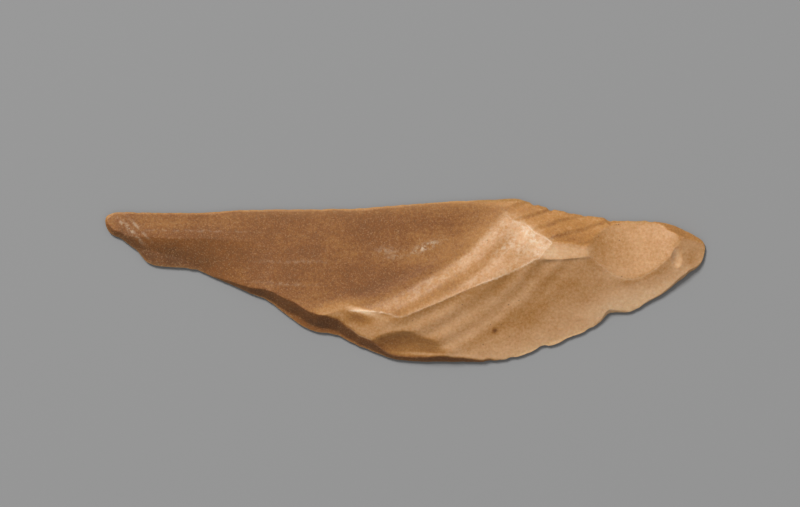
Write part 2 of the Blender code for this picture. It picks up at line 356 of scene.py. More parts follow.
def slant(points, x):
    """Turns a distance across the blade into the distance square to a slanting edge."""
    before = np.clip(x - SLANT_REACH, 0.0, FULL_LENGTH)
    after = np.clip(x + SLANT_REACH, 0.0, FULL_LENGTH)
    lean = (curve(points, after) - curve(points, before)) / (after - before)
    return 1.0 / np.sqrt(1.0 + lean * lean)


def edge_distances(x, y):
    """Distances from the lower edge, the upper edge and the nearer end."""
    lower = (y - lower_edge(x)) * slant(LOWER_EDGE, x)
    upper = (upper_edge(x) - y) * slant(UPPER_EDGE, x)
    end = np.minimum(x, FULL_LENGTH - x)
    return lower, upper, end


def blend(x, start, width):
    """A smooth switch from 0 to 1 about a start."""
    return 1.0 / (1.0 + np.exp(-np.clip((x - start) / width, -BLEND_REACH, BLEND_REACH)))


def dish(name, x, y):
    (along, across, height), (rise_x, rise_y), (bow_x, bow_y) = DISHES[name]
    dx = x - along
    dy = y - across
    return height + rise_x * dx + rise_y * dy + 0.5 * bow_x * dx * dx + 0.5 * bow_y * dy * dy


def ring_distance(x, y):
    return np.hypot(x - STRIKE_POINT[0], y - STRIKE_POINT[1])


def lances(x, y):
    """Hair-fine grooves that point away from the strike point."""
    turn = np.arctan2(y - STRIKE_POINT[1], x - STRIKE_POINT[0])
    r = ring_distance(x, y)
    return LANCE_DEPTH * noise(turn / LANCE_WIDTH, r / LANCE_LENGTH, 1.0, LANCE_SEED)


def long_scar(x, y):
    r = ring_distance(x, y)
    plane = LONG_SCAR_HEIGHT + LONG_SCAR_CLIMB * (LONG_SCAR_LINE[0] + LONG_SCAR_LINE[1] * x - y)
    climb = RINGS_CLIMB * RINGS_EASE * np.logaddexp(0.0, (r - RINGS_START) / RINGS_EASE)
    begun = blend(r, RINGS_START, RINGS_FADE_IN)
    rings = RING_DEPTH * np.sin(2.0 * np.pi * (r - RING_FIRST) / RING_SPACING)
    turn = np.degrees(np.arctan2(STRIKE_POINT[1] - y, x - STRIKE_POINT[0]))
    rings *= RINGS_AT_TOP + (1.0 - RINGS_AT_TOP) * blend(turn, RINGS_TURN, RINGS_TURN_EASE)
    return plane + climb + (rings + lances(x, y)) * begun


def left_facet(x, y):
    """The long scar, cut down by the thinner facet below its left end."""
    line = LEFT_FACET_LINE[0] + LEFT_FACET_LINE[1] * (x - LEFT_FACET_LINE[2])
    share = np.clip(1.0 - (x - LEFT_FACET_FULL) / LEFT_FACET_FADE, 0.0, 1.0)
    return long_scar(x, y) - np.clip(line - y, 0.0, None) * LEFT_FACET_FALL * share


def lower_ring_strength(r):
    return np.clip((LOWER_RING_END - r) / LOWER_RING_FADE, 0.0, 1.0)


def lower_face(x, y):
    r = ring_distance(x, y) + layered(LOWER_RING_WANDER, x, y, LOWER_RING_WANDER_SEED)
    rings = LOWER_RING_DEPTH * np.sin(2.0 * np.pi * (r - LOWER_RING_FIRST) / LOWER_RING_SPACING)
    rings *= lower_ring_strength(r) * (1.0 + layered(LOWER_RING_UNEVENNESS, x, y, LOWER_RING_SEED))
    past_step = np.clip(y - STEP_LEFT[1] - STEP_LEAN * (x - STEP_LEFT[0]), 0.0, None)
    reach = blend(x, STEP_LEFT[0] + STEP_LEFT_INSET, STEP_LEFT_EASE)
    reach *= blend(-x, -STEP_RIGHT, STEP_RIGHT_EASE)
    return dish("lower face", x, y) + rings + STEP_CLIMB * past_step * reach


def tread_phase(x, y):
    """How far a point is through its tread, from 0 to 1."""
    phase = (TREAD_LEAN[0] * x + TREAD_LEAN[1] * y) / TREAD_SPACING - TREAD_SHIFT
    return phase % 1.0


def treads(x, y):
    """Low steps across the upper retouch scars, each a long tread and a short riser."""
    phase = tread_phase(x, y)
    tread = phase / (1.0 - TREAD_RISER)
    riser = (1.0 - phase) / TREAD_RISER
    return TREAD_DEPTH * (np.minimum(tread, riser) - 0.5)


def bevels(x, y):
    """Heights of the bevels beside the lower edge, the upper edge and the two ends."""
    lower, upper, end = edge_distances(x, y)
    facets = BACK_FACETS + RETOUCH_FACETS * blend(x, BACK_END, BACK_FADE)
    facets = facets * noise(x, FACET_STRETCH * y, FACET_SIZE, LOWER_BEVEL_SEED)
    lower_steepness = between(LOWER_BEVEL, x) * (1.0 + facets)
    facets = UPPER_FACETS * noise(x, FACET_STRETCH * y, UPPER_FACET_SIZE, UPPER_BEVEL_SEED)
    upper_steepness = between(UPPER_BEVEL, x) * (1.0 + facets)
    lip = between(LIP, x) * (1.0 + layered(LIP_WAVES, x, np.zeros_like(y), LIP_SEED))
    on_lip = np.minimum(lower, lip)
    return [
        RIM_HEIGHT + LIP_STEEPNESS * on_lip + lower_steepness * (lower - on_lip),
        RIM_HEIGHT + upper_steepness * upper,
        RIM_HEIGHT + END_BEVEL * end,
    ]


def soft_lowest(height, other, rounding):
    """The lower of two heights, rounded over where they cross."""
    share = np.clip(0.5 + 0.5 * (other - height) / rounding, 0.0, 1.0)
    return other + (height - other) * share - rounding * share * (1.0 - share)


# The scars in the order in which they are cut
LATER_DISHES = [name for name in DISHES if not name.startswith("lower face")]
SURFACES = ["lower face", "long scar"] + LATER_DISHES
SURFACES += ["lower bevel", "upper bevel", "end bevel"]


def scars(x, y):
    """Heights of every scar over the whole blade; the lowest at a point is the one that is seen there."""
    inside = np.clip(np.minimum.reduce(edge_distances(x, y)) / WANDER_INSET, 0.0, 1.0)
    wx = x + inside * layered(WANDER, x, y, WANDER_ALONG_SEED)
    wy = y + inside * layered(WANDER, x, y, WANDER_ACROSS_SEED)
    left_corner = dish("lower face, left corner", wx, wy)
    right_end = dish("lower face, right end", wx, wy)
    below = soft_lowest(lower_face(wx, wy), left_corner, LEFT_CORNER_ROUNDING)
    below = soft_lowest(below, right_end, RIGHT_END_ROUNDING)
    crest = left_facet(wx, wy)
    surfaces = [below, crest]
    for name in LATER_DISHES:
        surface = dish(name, wx, wy)
        if name.startswith("upper retouch"):
            surface += treads(wx, wy) * np.clip((crest - surface) / TREADS_BEGIN, 0.0, 1.0)
        surfaces.append(surface)
    return surfaces + bevels(x, y)


def knapped_height(x, y):
    """The lowest scar at each point, with the ridges between scars slightly rounded."""
    surfaces = scars(x, y)
    height = surfaces[0]
    for name, other in zip(SURFACES[1:], surfaces[1:]):
        height = soft_lowest(height, other, ROUNDING[name])
    return np.maximum(height + layered(GRAIN, x, y, GRAIN_SEED), RIM_HEIGHT)


def underside_rings(x, y):
    """Faint rings about the point that the whole blade was struck from, from -1 to 1."""
    r = np.hypot(x - UNDERSIDE_STRIKE[0], y - UNDERSIDE_STRIKE[1])
    r = r + layered(UNDERSIDE_RING_WANDER, x, y, UNDERSIDE_SEED)
    return np.sin(2.0 * np.pi * r / UNDERSIDE_RING_SPACING)


def underside_height(x, y):
    inset = np.clip(np.minimum.reduce(edge_distances(x, y)), 0.0, UNDERSIDE_ROLL)
    inside = inset / UNDERSIDE_ROLL
    rings = UNDERSIDE_RING_DEPTH * 0.5 * (1.0 + underside_rings(x, y))
    return RIM_HEIGHT * (1.0 - inside) ** 2 + inside * rings


def crowd(s, share):
    """Spreads even steps so that they crowd toward both ends."""
    return (1.0 - share) * s + share * 0.5 * (1.0 - np.cos(np.pi * s))


def rows_on_ridges(x, y):
    """Moves the nearest row of each column onto every ridge that the column crosses."""
    share = np.linspace(0.0, 1.0, RIDGE_SAMPLES)[:, None]
    fine = y[0] + share * (y[-1] - y[0])
    seen = np.argmin(np.array(scars(np.broadcast_to(x[0], fine.shape).copy(), fine)), axis=0)
    for column in range(1, COLUMNS):
        taken = {0, TOP_ROWS}
        for crossing in np.nonzero(np.diff(seen[:, column]))[0]:
            ridge = 0.5 * (fine[crossing, column] + fine[crossing + 1, column])
            row = int(np.argmin(np.abs(y[:, column] - ridge)))
            if row not in taken:
                y[row, column] = ridge
                taken.add(row)
    return y


def face_sheet(bm, rows, height, on_ridges):
    """One face of the blade: an even grid drawn out to the outline and raised to its heights."""
    sheet = bmesh.ops.create_grid(bm, x_segments=COLUMNS, y_segments=rows, size=1.0)["verts"]
    place = np.array([v.co[:2] for v in sheet])
    column = np.rint((place[:, 0] + 1.0) * 0.5 * COLUMNS).astype(int)
    row = np.rint((place[:, 1] + 1.0) * 0.5 * rows).astype(int)
    along = FULL_LENGTH * crowd(np.arange(COLUMNS + 1) / COLUMNS, END_CROWDING)
    across = crowd(np.arange(rows + 1) / rows, EDGE_CROWDING)
    x, share = np.meshgrid(along, across)
    y = lower_edge(x) + share * (upper_edge(x) - lower_edge(x))
    if on_ridges:
        y = rows_on_ridges(x, y)
    z = height(x, y)
    z[0, :] = z[-1, :] = RIM_HEIGHT
    z[:, 0] = z[:, -1] = RIM_HEIGHT
    x = (x / FULL_LENGTH - 0.5) * LENGTH * METRE
    y = (y / FULL_WIDTH - 0.5) * WIDTH * METRE
    z = z * METRE
    for v, i, j in zip(sheet, row, column):
        v.co = (x[i, j], y[i, j], z[i, j])


def split_along_ridges(bm):
    """Cuts every four-sided face on its higher diagonal, so that ridges stay crisp."""
    for face in list(bm.faces):
        if len(face.verts) == 4:
            a, b, c, d = face.verts
            if a.co.z + c.co.z > b.co.z + d.co.z:
                bmesh.utils.face_split(face, a, c)
            else:
                bmesh.utils.face_split(face, b, d)


def blade_mesh():
    bm = bmesh.new()
    face_sheet(bm, TOP_ROWS, knapped_height, True)
    face_sheet(bm, UNDERSIDE_ROWS, underside_height, False)
    bmesh.ops.remove_doubles(bm, verts=bm.verts, dist=WELD)
    bmesh.ops.dissolve_degenerate(bm, edges=bm.edges, dist=WELD)
    split_along_ridges(bm)
    bmesh.ops.recalc_face_normals(bm, faces=bm.faces)
    mesh = bpy.data.meshes.new("flint_blade_surface")
    bm.to_mesh(mesh)
    bm.free()
    return mesh


# How pale the flint of each scar is, from 0, dark honey brown, to 1, pale tan
PALENESS = {
    "lower face": 0.84,
    "long scar": 0.32,
    "lower lens": 0.50,
    "upper retouch, left": 0.60,
    "upper retouch, middle": 0.64,
    "upper retouch, right": 0.70,
    "crest tongue": 1.00,
    "broad tip scar": 0.88,
    "tip sliver": 1.10,
    "point facet": 0.90,
    "lower bevel": 0.13,
    "upper bevel": 0.60,
    "end bevel": 0.50,
}
# The palest tone that the material knows
PALEST = 1.3
# How deep below a scar another one still tints it, and how deep below a ridge its painted glint and rubbing
# reach
PALENESS_REACH = 0.10
RIDGE_REACH = 0.035

# The long scar is paler where it climbs to the crest, from a little before its rings on and over this width
CREST_PALENESS = 0.60
CREST_PALENESS_LEAD = 0.2
CREST_PALENESS_EASE = 1.4
TONE_RING_WANDER = [(4.0, 0.5)]

# The smooth underside, as (along, paleness), and how much its rings change it
UNDERSIDE_PALENESS = [(0.0, 0.38), (45.0, 0.50), (FULL_LENGTH, 0.74)]
UNDERSIDE_RING_PALENESS = 0.025
# Points of the mesh this near to the worked face's height belong to it
SAME_HEIGHT = 0.02

# The risers of the treads are painted darker, as shade on the short steps that face away from the lamp: their
# waves along and across, and their unevenness, as (size, amount)
RISER_SHADE = -0.11
RISER_WAVES_ALONG = [(2.2, 0.5)]
RISER_WAVES_ACROSS = [(1.6, 0.25)]
RISER_UNEVENNESS = [(3.0, 0.6)]

# The sharp lower edge is paler than the back bevel, and so is the lip
FRONT_BEVEL_PALENESS = 0.90
FRONT_BEVEL_EASE = 0.6
LIP_PALENESS = 0.30
LIP_INSET = 0.1
LIP_EASE = 0.06

# The lower face is painted darker close under the crest, as shade where it falls away from the lamp, as
# (amount, depth under the crest over which it fades)
SHADE_UNDER_CREST = (-0.20, 1.2)
# It is painted darker on the far side of each low ring, as shade where the ring faces away from the lamp, and
# paler toward the sharp lower edge, as (amount, reach)
RING_SHADE = 0.045
RING_UNEVENNESS = [(5.0, 1.0)]
FRONT_EDGE_PALENESS = (0.26, 1.5)

# Painted highlight bands on the lit slopes of the rings under the crest: (distance from the strike point,
# half breadth, strength)
CREST_HIGHLIGHT_BANDS = [(45.2, 1.1, 1.0), (48.8, 1.0, 0.65), (51.4, 0.9, 1.0)]
# How strong the bands are along the blade, as (along, share)
HIGHLIGHT_BANDS_ALONG = [(0.0, 0.0), (40.0, 0.0), (50.0, 0.65), (58.0, 0.80), (66.0, 1.0), (FULL_LENGTH, 1.0)]
# How much paler the highlight bands are painted, and how much painted sheen they carry
BAND_HIGHLIGHT = 0.16
BAND_SHEEN = 0.30

# The glow of the thin edges, as (amount, reach)
BACK_GLOW = (0.35, 0.16)
FRONT_GLOW = (0.60, 0.35)
UPPER_GLOW = (0.50, 0.75)
# How the glow of the upper edge changes, as (along, share)
UPPER_GLOW_ALONG = [
    (0.0, 0.3), (8.0, 0.15), (17.0, 0.3), (28.0, 1.0), (64.0, 1.0), (70.0, 0.4), (FULL_LENGTH, 0.4),
]

# Softly darker and paler places: clouds in the stone, with painted shade on slopes that face away from the
# lamp and painted highlight on the crescent of the crest: (along, across, half length, half breadth, lean,
# amount)
CLOUDS_AND_PAINTED_SHADING = [
    (56.6, 22.8, 11.0, 1.5, 0.05, -0.08), (11.8, 17.3, 7.0, 2.3, -0.14, -0.34),
    (14.0, 23.4, 12.0, 1.3, 0.0, 0.08), (64.9, 5.2, 0.45, 0.40, 0.0, -0.60),
    (70.8, 8.3, 7.5, 2.6, 0.75, -0.12), (46.6, 13.3, 11.0, 1.2, 0.35, -0.10),
    (89.4, 14.2, 3.8, 0.6, 0.35, -0.14), (58.0, 21.0, 10.0, 5.0, 0.0, 0.15),
    (97.8, 17.2, 1.2, 1.6, 0.0, -0.12), (65.0, 5.6, 3.5, 1.1, 0.5, -0.12),
    (70.4, 20.9, 4.5, 2.2, -0.6, 0.30), (42.9, 8.5, 2.2, 0.45, -0.25, 0.90),
    (86.5, 10.5, 8.0, 2.2, 0.30, 0.22), (87.0, 15.5, 4.5, 1.2, 0.20, 0.10),
    (82.8, 19.6, 2.0, 2.6, 0.0, -0.16), (42.3, 7.2, 2.2, 1.2, -0.3, -0.26),
    (47.5, 5.8, 2.6, 1.5, 0.0, 0.16), (76.0, 17.9, 4.0, 1.4, 0.0, 0.10),
    (38.3, 9.0, 5.5, 1.0, 0.25, 0.24), (53.5, 1.35, 4.5, 0.30, -0.05, 0.40),
    (77.5, 20.3, 3.6, 0.8, -0.1, -0.14), (6.2, 18.4, 3.4, 1.0, -1.0, -0.30),
]

# Chalky blooms, painted highlights on the crest and thin lines of pale flecks: (along, across, half length,
# half breadth, lean, amount)
BLOOMS_AND_HIGHLIGHTS = [
    (53.4, 19.2, 2.0, 0.6, 0.42, 0.90), (48.2, 17.5, 1.3, 0.35, 0.15, 0.40),
    (47.0, 18.6, 2.2, 0.6, 0.0, 0.28), (31.5, 16.7, 5.0, 0.25, 0.0, 0.3),
    (30.5, 13.0, 5.0, 0.22, -0.05, 0.25), (15.5, 21.8, 8.0, 0.16, -0.02, 0.3),
    (4.4, 21.9, 1.7, 0.45, -1.1, 0.6), (5.6, 22.3, 1.6, 0.35, -1.0, 0.5),
    (3.0, 22.9, 1.4, 0.40, -1.1, 0.5), (70.7, 21.0, 2.8, 1.4, -0.8, 0.9),
    (67.5, 19.6, 3.0, 0.9, 0.7, 0.6), (72.5, 18.8, 1.8, 0.8, 0.9, 0.7),
    (68.9, 19.6, 3.4, 2.2, -0.3, 0.5),
]

# How pale the ridges are painted along the blade, as a glint of light and as rubbing, as (along, share), and
# how far up across it
CREST_GLINT_AND_WEAR = [
    (40.0, 0.0), (41.6, 1.0), (46.0, 1.0), (50.0, 0.35), (59.0, 0.30), (64.0, 0.8), (FULL_LENGTH, 1.0),
]
CREST_TOP = 24.3
CREST_TOP_EASE = 0.2
# How much the ridge between two scars is painted pale, as a glint of light and as rubbing
RIDGE_GLINT_AND_RUBBING = {
    ("lower face", "long scar"): 1.0,
    ("long scar", "crest tongue"): 0.9,
    ("long scar", "upper retouch, left"): 0.6,
    ("long scar", "upper retouch, middle"): 1.0,
    ("long scar", "lower bevel"): 0.1,
    ("lower lens", "lower bevel"): 0.1,
    ("lower face", "lower bevel"): 0.3,
    ("lower face", "broad tip scar"): 0.3,
    ("crest tongue", "broad tip scar"): 0.4,
}


def patch(x, y, along, across, long_way, short_way, lean):
    """A soft oval spot, 1 at its middle."""
    away = ((x - along) / long_way) ** 2 + ((y - across - lean * (x - along)) / short_way) ** 2
    return np.exp(-away)


def crest_highlight_bands(x, r):
    """How strong the painted highlight bands under the crest are, at a distance from the strike point."""
    highlight_band = np.zeros_like(x)
    for distance, breadth, strength in CREST_HIGHLIGHT_BANDS:
        highlight_band += strength * np.exp(-((r - distance) / breadth) ** 2)
    return highlight_band * between(HIGHLIGHT_BANDS_ALONG, x)


def faded(amount_and_reach, distance):
    """An amount that fades with distance, over its own reach."""
    amount, reach = amount_and_reach
    return amount * np.exp(-np.clip(distance, 0.0, None) / reach)


def edge_glow(x, lower, upper):
    """How much light comes through the thin edges."""
    front = blend(x, BACK_END, BACK_FADE)
    back_glow = faded(BACK_GLOW, lower)
    front_glow = faded(FRONT_GLOW, lower)
    upper_glow = faded(UPPER_GLOW, upper) * between(UPPER_GLOW_ALONG, x)
    return np.maximum(back_glow + (front_glow - back_glow) * front, upper_glow)


def underside_paleness(x, y):
    """The even tone of the one smooth scar below, a little darker in the hollow of each ring."""
    return between(UNDERSIDE_PALENESS, x) + UNDERSIDE_RING_PALENESS * underside_rings(x, y)


def riser_strength(x, y):
    """How much a point lies on the riser between two treads."""
    along = x + layered(RISER_WAVES_ALONG, x, y, RISER_ALONG_SEED)
    across = y + layered(RISER_WAVES_ACROSS, x, y, RISER_ACROSS_SEED)
    phase = tread_phase(along, across)
    riser = np.sin(np.pi * np.clip((phase - 1.0 + TREAD_RISER) / TREAD_RISER, 0.0, 1.0))
    return riser * np.clip(1.0 + layered(RISER_UNEVENNESS, x, y, RISER_SEED), 0.0, None)


def lower_face_shade(x, y, r, lower, under_crest):
    """How the lower face changes: painted shade under the crest and on the far side of its rings, and paler
    toward the sharp edge.
    """
    shaded_side = np.cos(2.0 * np.pi * (r - LOWER_RING_FIRST) / LOWER_RING_SPACING)
    shaded_side *= 1.0 + layered(RING_UNEVENNESS, x, y, RING_TONE_SEED)
    shade = faded(SHADE_UNDER_CREST, under_crest) + RING_SHADE * shaded_side * lower_ring_strength(r)
    return shade + faded(FRONT_EDGE_PALENESS, lower)


def tone_ring_distance(x, y):
    """Distance from the strike point, a little wavy."""
    return ring_distance(x, y) + layered(TONE_RING_WANDER, x, y, TONE_RING_SEED)


def scar_tones(x, y, surfaces, highlight_band):
    """The paleness of every scar at each point, whether it is seen there or not, with painted highlight on
    the crest and painted shade on the risers and the lower face.
    """
    lower = edge_distances(x, y)[0]
    r = tone_ring_distance(x, y)
    tones = np.array([PALENESS[name] for name in SURFACES])[:, None] * np.ones_like(surfaces)
    crest = SURFACES.index("long scar")
    climbing = blend(r, RINGS_START - CREST_PALENESS_LEAD, CREST_PALENESS_EASE)
    # The crest is painted paler on its highlight bands
    tones[crest] += (CREST_PALENESS - tones[crest]) * climbing + BAND_HIGHLIGHT * highlight_band
    retouch = slice(SURFACES.index("upper retouch, left"), SURFACES.index("crest tongue"))
    # Painted shade on the risers of the treads
    tones[retouch] += RISER_SHADE * riser_strength(x, y)
    below = SURFACES.index("lower face")
    tones[below] += lower_face_shade(x, y, r, lower, surfaces[crest] - surfaces[below])
    bevel = SURFACES.index("lower bevel")
    tones[bevel] += (FRONT_BEVEL_PALENESS - tones[bevel]) * blend(x, BACK_END, FRONT_BEVEL_EASE)
    on_lip = blend(between(LIP, x) - lower, LIP_INSET, LIP_EASE)
    tones[bevel] += (LIP_PALENESS - tones[bevel]) * on_lip
    return tones


def paleness(x, y, surfaces, highlight_band):
    """How pale the worked face is: the tones of the scars that lie lowest, with the clouds, painted shade and
    painted highlights over them.
    """
    share = np.exp(-(surfaces - surfaces.min(axis=0)) / PALENESS_REACH)
    pale = (scar_tones(x, y, surfaces, highlight_band) * share).sum(axis=0) / share.sum(axis=0)
    # Clouds in the stone, with patches of painted shade and painted highlight
    for *place, amount in CLOUDS_AND_PAINTED_SHADING:
        pale += amount * patch(x, y, *place)
    return pale


def ridge_glint_and_wear(x, y, surfaces, order):
    """How pale the ridge between the two lowest scars is painted, as a glint of light and as rubbing."""
    glint_and_rubbing = np.zeros((len(SURFACES), len(SURFACES)))
    for (one, other), amount in RIDGE_GLINT_AND_RUBBING.items():
        i = SURFACES.index(one)
        j = SURFACES.index(other)
        glint_and_rubbing[i, j] = glint_and_rubbing[j, i] = amount
    gap = np.take_along_axis(surfaces, order[1:2], axis=0)[0] - surfaces.min(axis=0)
    # The painted glint and rubbing are strongest along the crest
    glint_and_wear_here = between(CREST_GLINT_AND_WEAR, x) * blend(-y, -CREST_TOP, CREST_TOP_EASE)
    return np.exp(-gap / RIDGE_REACH) * glint_and_rubbing[order[0], order[1]] * glint_and_wear_here


def blooms_and_painted_sheen(x, y, highlight_band, on_crest):
    """How much pale colour is laid on: painted sheen on the highlight bands under the crest, and the blooms,
    with painted highlights among them.
    """
    # Painted sheen on the highlight bands of the crest
    bloom_and_sheen = BAND_SHEEN * highlight_band * on_crest
    for *place, amount in BLOOMS_AND_HIGHLIGHTS:
        bloom_and_sheen = np.maximum(bloom_and_sheen, amount * patch(x, y, *place))
    return bloom_and_sheen


def paint_values(x, y, above):
    """Paleness with painted shade and highlights, the painted glint and rubbing of ridges, thin edge, and
    blooms with painted sheen at each point of the surface.
    """
    surfaces = np.array(scars(x, y))
    order = np.argsort(surfaces, axis=0)
    on_crest = order[0] == SURFACES.index("long scar")
    lower, upper = edge_distances(x, y)[:2]
    highlight_band = crest_highlight_bands(x, tone_ring_distance(x, y))
    return {
        "paleness": np.where(above, paleness(x, y, surfaces, highlight_band), underside_paleness(x, y)),
        "ridge": ridge_glint_and_wear(x, y, surfaces, order) * above,
        "thin": edge_glow(x, lower, upper),
        "bloom_and_sheen": blooms_and_painted_sheen(x, y, highlight_band, on_crest) * above,
    }


def paint(mesh):
    """Keeps the paint values on the points of the mesh, for the material."""
    place = np.empty(len(mesh.vertices) * 3)
    mesh.vertices.foreach_get("co", place)
    place = place.reshape(-1, 3)
    x = (place[:, 0] / (LENGTH * METRE) + 0.5) * FULL_LENGTH
    y = (place[:, 1] / (WIDTH * METRE) + 0.5) * FULL_WIDTH
    x = np.clip(x, 0.0, FULL_LENGTH)
    above = np.abs(place[:, 2] / METRE - knapped_height(x, y)) < SAME_HEIGHT
    for name, value in paint_values(x, y, above).items():
        layer = mesh.attributes.new(name, "FLOAT", "POINT")
        layer.data.foreach_set("value", np.clip(value, 0.0, PALEST).astype(np.float32))


class Nodes:
    """Short calls for laying out a material's nodes."""

    def __init__(self, material):
        self.tree = material.node_tree

    def add(self, kind, **settings):
        node = self.tree.nodes.new(kind)
        for name, value in settings.items():
            setattr(node, name, value)
        return node

    def link(self, source, target):
        self.tree.links.new(source, target)

    def attribute(self, name):
        return self.add("ShaderNodeAttribute", attribute_name=name).outputs["Fac"]

    def noise(self, place, scale, detail, roughness):
        node = self.add("ShaderNodeTexNoise")
        node.inputs["Scale"].default_value = scale
        node.inputs["Detail"].default_value = detail
        node.inputs["Roughness"].default_value = roughness
        self.link(place, node.inputs["Vector"])
        return node.outputs["Fac"]

    def ramp(self, source, low, high, to_low, to_high):
        node = self.add("ShaderNodeMapRange", interpolation_type="SMOOTHSTEP")
        self.link(source, node.inputs["Value"])
        node.inputs["From Min"].default_value = low
        node.inputs["From Max"].default_value = high
        node.inputs["To Min"].default_value = to_low
        node.inputs["To Max"].default_value = to_high
        return node.outputs["Result"]

    def colours(self, source, stops):
        node = self.add("ShaderNodeValToRGB")
        self.link(source, node.inputs["Fac"])
        ramp = node.color_ramp
        while len(ramp.elements) < len(stops):
            ramp.elements.new(0.5)
        for element, (place, colour) in zip(ramp.elements, stops):
            element.position = place
            element.color = colour
        return node.outputs["Color"]

    def math(self, operation, a, b):
        node = self.add("ShaderNodeMath", operation=operation)
        for socket, value in zip(node.inputs, (a, b)):
            if isinstance(value, float):
                socket.default_value = value
            else:
                self.link(value, socket)
        return node.outputs[0]

    def mix(self, share, a, b):
        """Mixes two colours: a mix node keeps its share first and its colours in sockets 6 and 7."""
        node = self.add("ShaderNodeMix", data_type="RGBA")
        for socket, value in ((node.inputs[0], share), (node.inputs[6], a), (node.inputs[7], b)):
            if isinstance(value, (float, tuple)):
                socket.default_value = value
            else:
                self.link(value, socket)
        return node.outputs[2]


# Colours of the flint, from dark honey brown past pale tan to cream, over tones from 0 to the palest
FLINT = [
    (0.0, (0.125, 0.048, 0.014, 1.0)),
    (0.254, (0.218, 0.077, 0.016, 1.0)),
    (0.508, (0.408, 0.184, 0.048, 1.0)),
    (0.769, (0.630, 0.357, 0.176, 1.0)),
    (1.0, (0.780, 0.520, 0.300, 1.0)),
]
# Pale colour painted on the ridges as their glint of light and their rubbing
RIDGE_GLINT_AND_WEAR = (0.82, 0.64, 0.46, 1.0)
THIN_EDGE = (0.62, 0.34, 0.13, 1.0)
SPECK = (0.56, 0.34, 0.17, 1.0)
# Pale colour of the blooms, also painted as sheen and highlight
BLOOM_AND_SHEEN = (0.74, 0.60, 0.43, 1.0)
DARK_SPOT = (0.12, 0.05, 0.022, 1.0)

# Patterns in the stone, and in the painted glint and sheen, as (scale, detail, roughness): the last is how
# strong the finer waves are
CLOUD_PATTERN = (170.0, 4.0, 0.55)
BAND_PATTERN = (420.0, 3.0, 0.5)
MOTTLE_PATTERN = (2200.0, 3.0, 0.65)
GLINT_AND_RUBBING_PATTERN = (900.0, 2.0, 0.5)
BLOOM_AND_SHEEN_PATTERN = (1500.0, 4.0, 0.65)
GRAIN_PATTERN = (4800.0, 2.0, 0.6)
SHEEN_PATTERN = (600.0, 3.0, 0.5)
SKIN_PATTERN = (2600.0, 5.0, 0.6)
WIDE_PATTERN = (700.0, 3.0, 0.5)
SPECK_SCALE = 1500.0

# How much clouds, bands along the blade and mottle change the tone, and how the bands are drawn out
CLOUD_STRENGTH = 0.40
BAND_STRENGTH = 0.26
MOTTLE_STRENGTH = 0.55
BAND_STRETCH = (0.16, 1.0, 1.0)
# How far the thinnest edges take on the colour of the light through them
THIN_EDGE_SHARE = 0.55

# What a pattern is turned into: (from low, from high, to low, to high)
GLINT_AND_RUBBING_RANGE = (0.30, 0.62, 0.15, 0.75)
BLOOM_AND_SHEEN_RANGE = (0.40, 0.64, 0.0, 0.80)
GRAIN_RANGE = (0.50, 0.76, 0.0, 0.38)
SPECK_EDGE = (0.10, 0.24, 1.0, 0.0)
SPECK_RANGE = (0.70, 1.00, 0.0, 0.24)
DARK_SPOT_RANGE = (0.965, 0.975, 0.0, 0.6)
ROUGHNESS_RANGE = (0.3, 0.7, 0.45, 0.58)
SPECK_ROUGHNESS = 0.10

# How flint bends, returns and spreads light
FLINT_IOR = 1.54
SPECULAR = 0.25
SPREAD = 0.15
SPREAD_COLOURS = (1.0, 0.45, 0.18)
SPREAD_DEPTH = 0.0012

# Fine relief of the broken skin, as (strength, height in metres)
SKIN_RELIEF = (0.35, 0.00006)
WIDE_RELIEF = (0.3, 0.00010)


def flint_tone(n, place):
    """Each scar's paleness, clouded, faintly banded along the blade and finely mottled."""
    stretched = n.add("ShaderNodeMapping")
    stretched.inputs["Scale"].default_value = BAND_STRETCH
    n.link(place, stretched.inputs["Vector"])
    patterns = [
        (n.noise(place, *CLOUD_PATTERN), CLOUD_STRENGTH),
        (n.noise(stretched.outputs["Vector"], *BAND_PATTERN), BAND_STRENGTH),
        (n.noise(place, *MOTTLE_PATTERN), MOTTLE_STRENGTH),
    ]
    tone = n.attribute("paleness")
    for pattern, amount in patterns:
        tone = n.math("ADD", tone, n.math("MULTIPLY", n.math("SUBTRACT", pattern, 0.5), amount))
    return n.colours(n.math("MULTIPLY", tone, 1.0 / PALEST), FLINT)


def flint_wear_and_painted_light(n, place, colour):
    """Thin edges let light through, ridges are painted pale as a glint of light and as rubbing, and chalky
    blooms with painted sheen and highlights lie on the long scar.
    """
    colour = n.mix(n.math("MULTIPLY", n.attribute("thin"), THIN_EDGE_SHARE), colour, THIN_EDGE)
    glint_and_rubbing = n.ramp(n.noise(place, *GLINT_AND_RUBBING_PATTERN), *GLINT_AND_RUBBING_RANGE)
    # The ridges are painted pale, as a glint of light and as rubbing
    colour = n.mix(n.math("MULTIPLY", n.attribute("ridge"), glint_and_rubbing), colour, RIDGE_GLINT_AND_WEAR)
    broken = n.ramp(n.noise(place, *BLOOM_AND_SHEEN_PATTERN), *BLOOM_AND_SHEEN_RANGE)
    return n.mix(n.math("MULTIPLY", n.attribute("bloom_and_sheen"), broken), colour, BLOOM_AND_SHEEN)


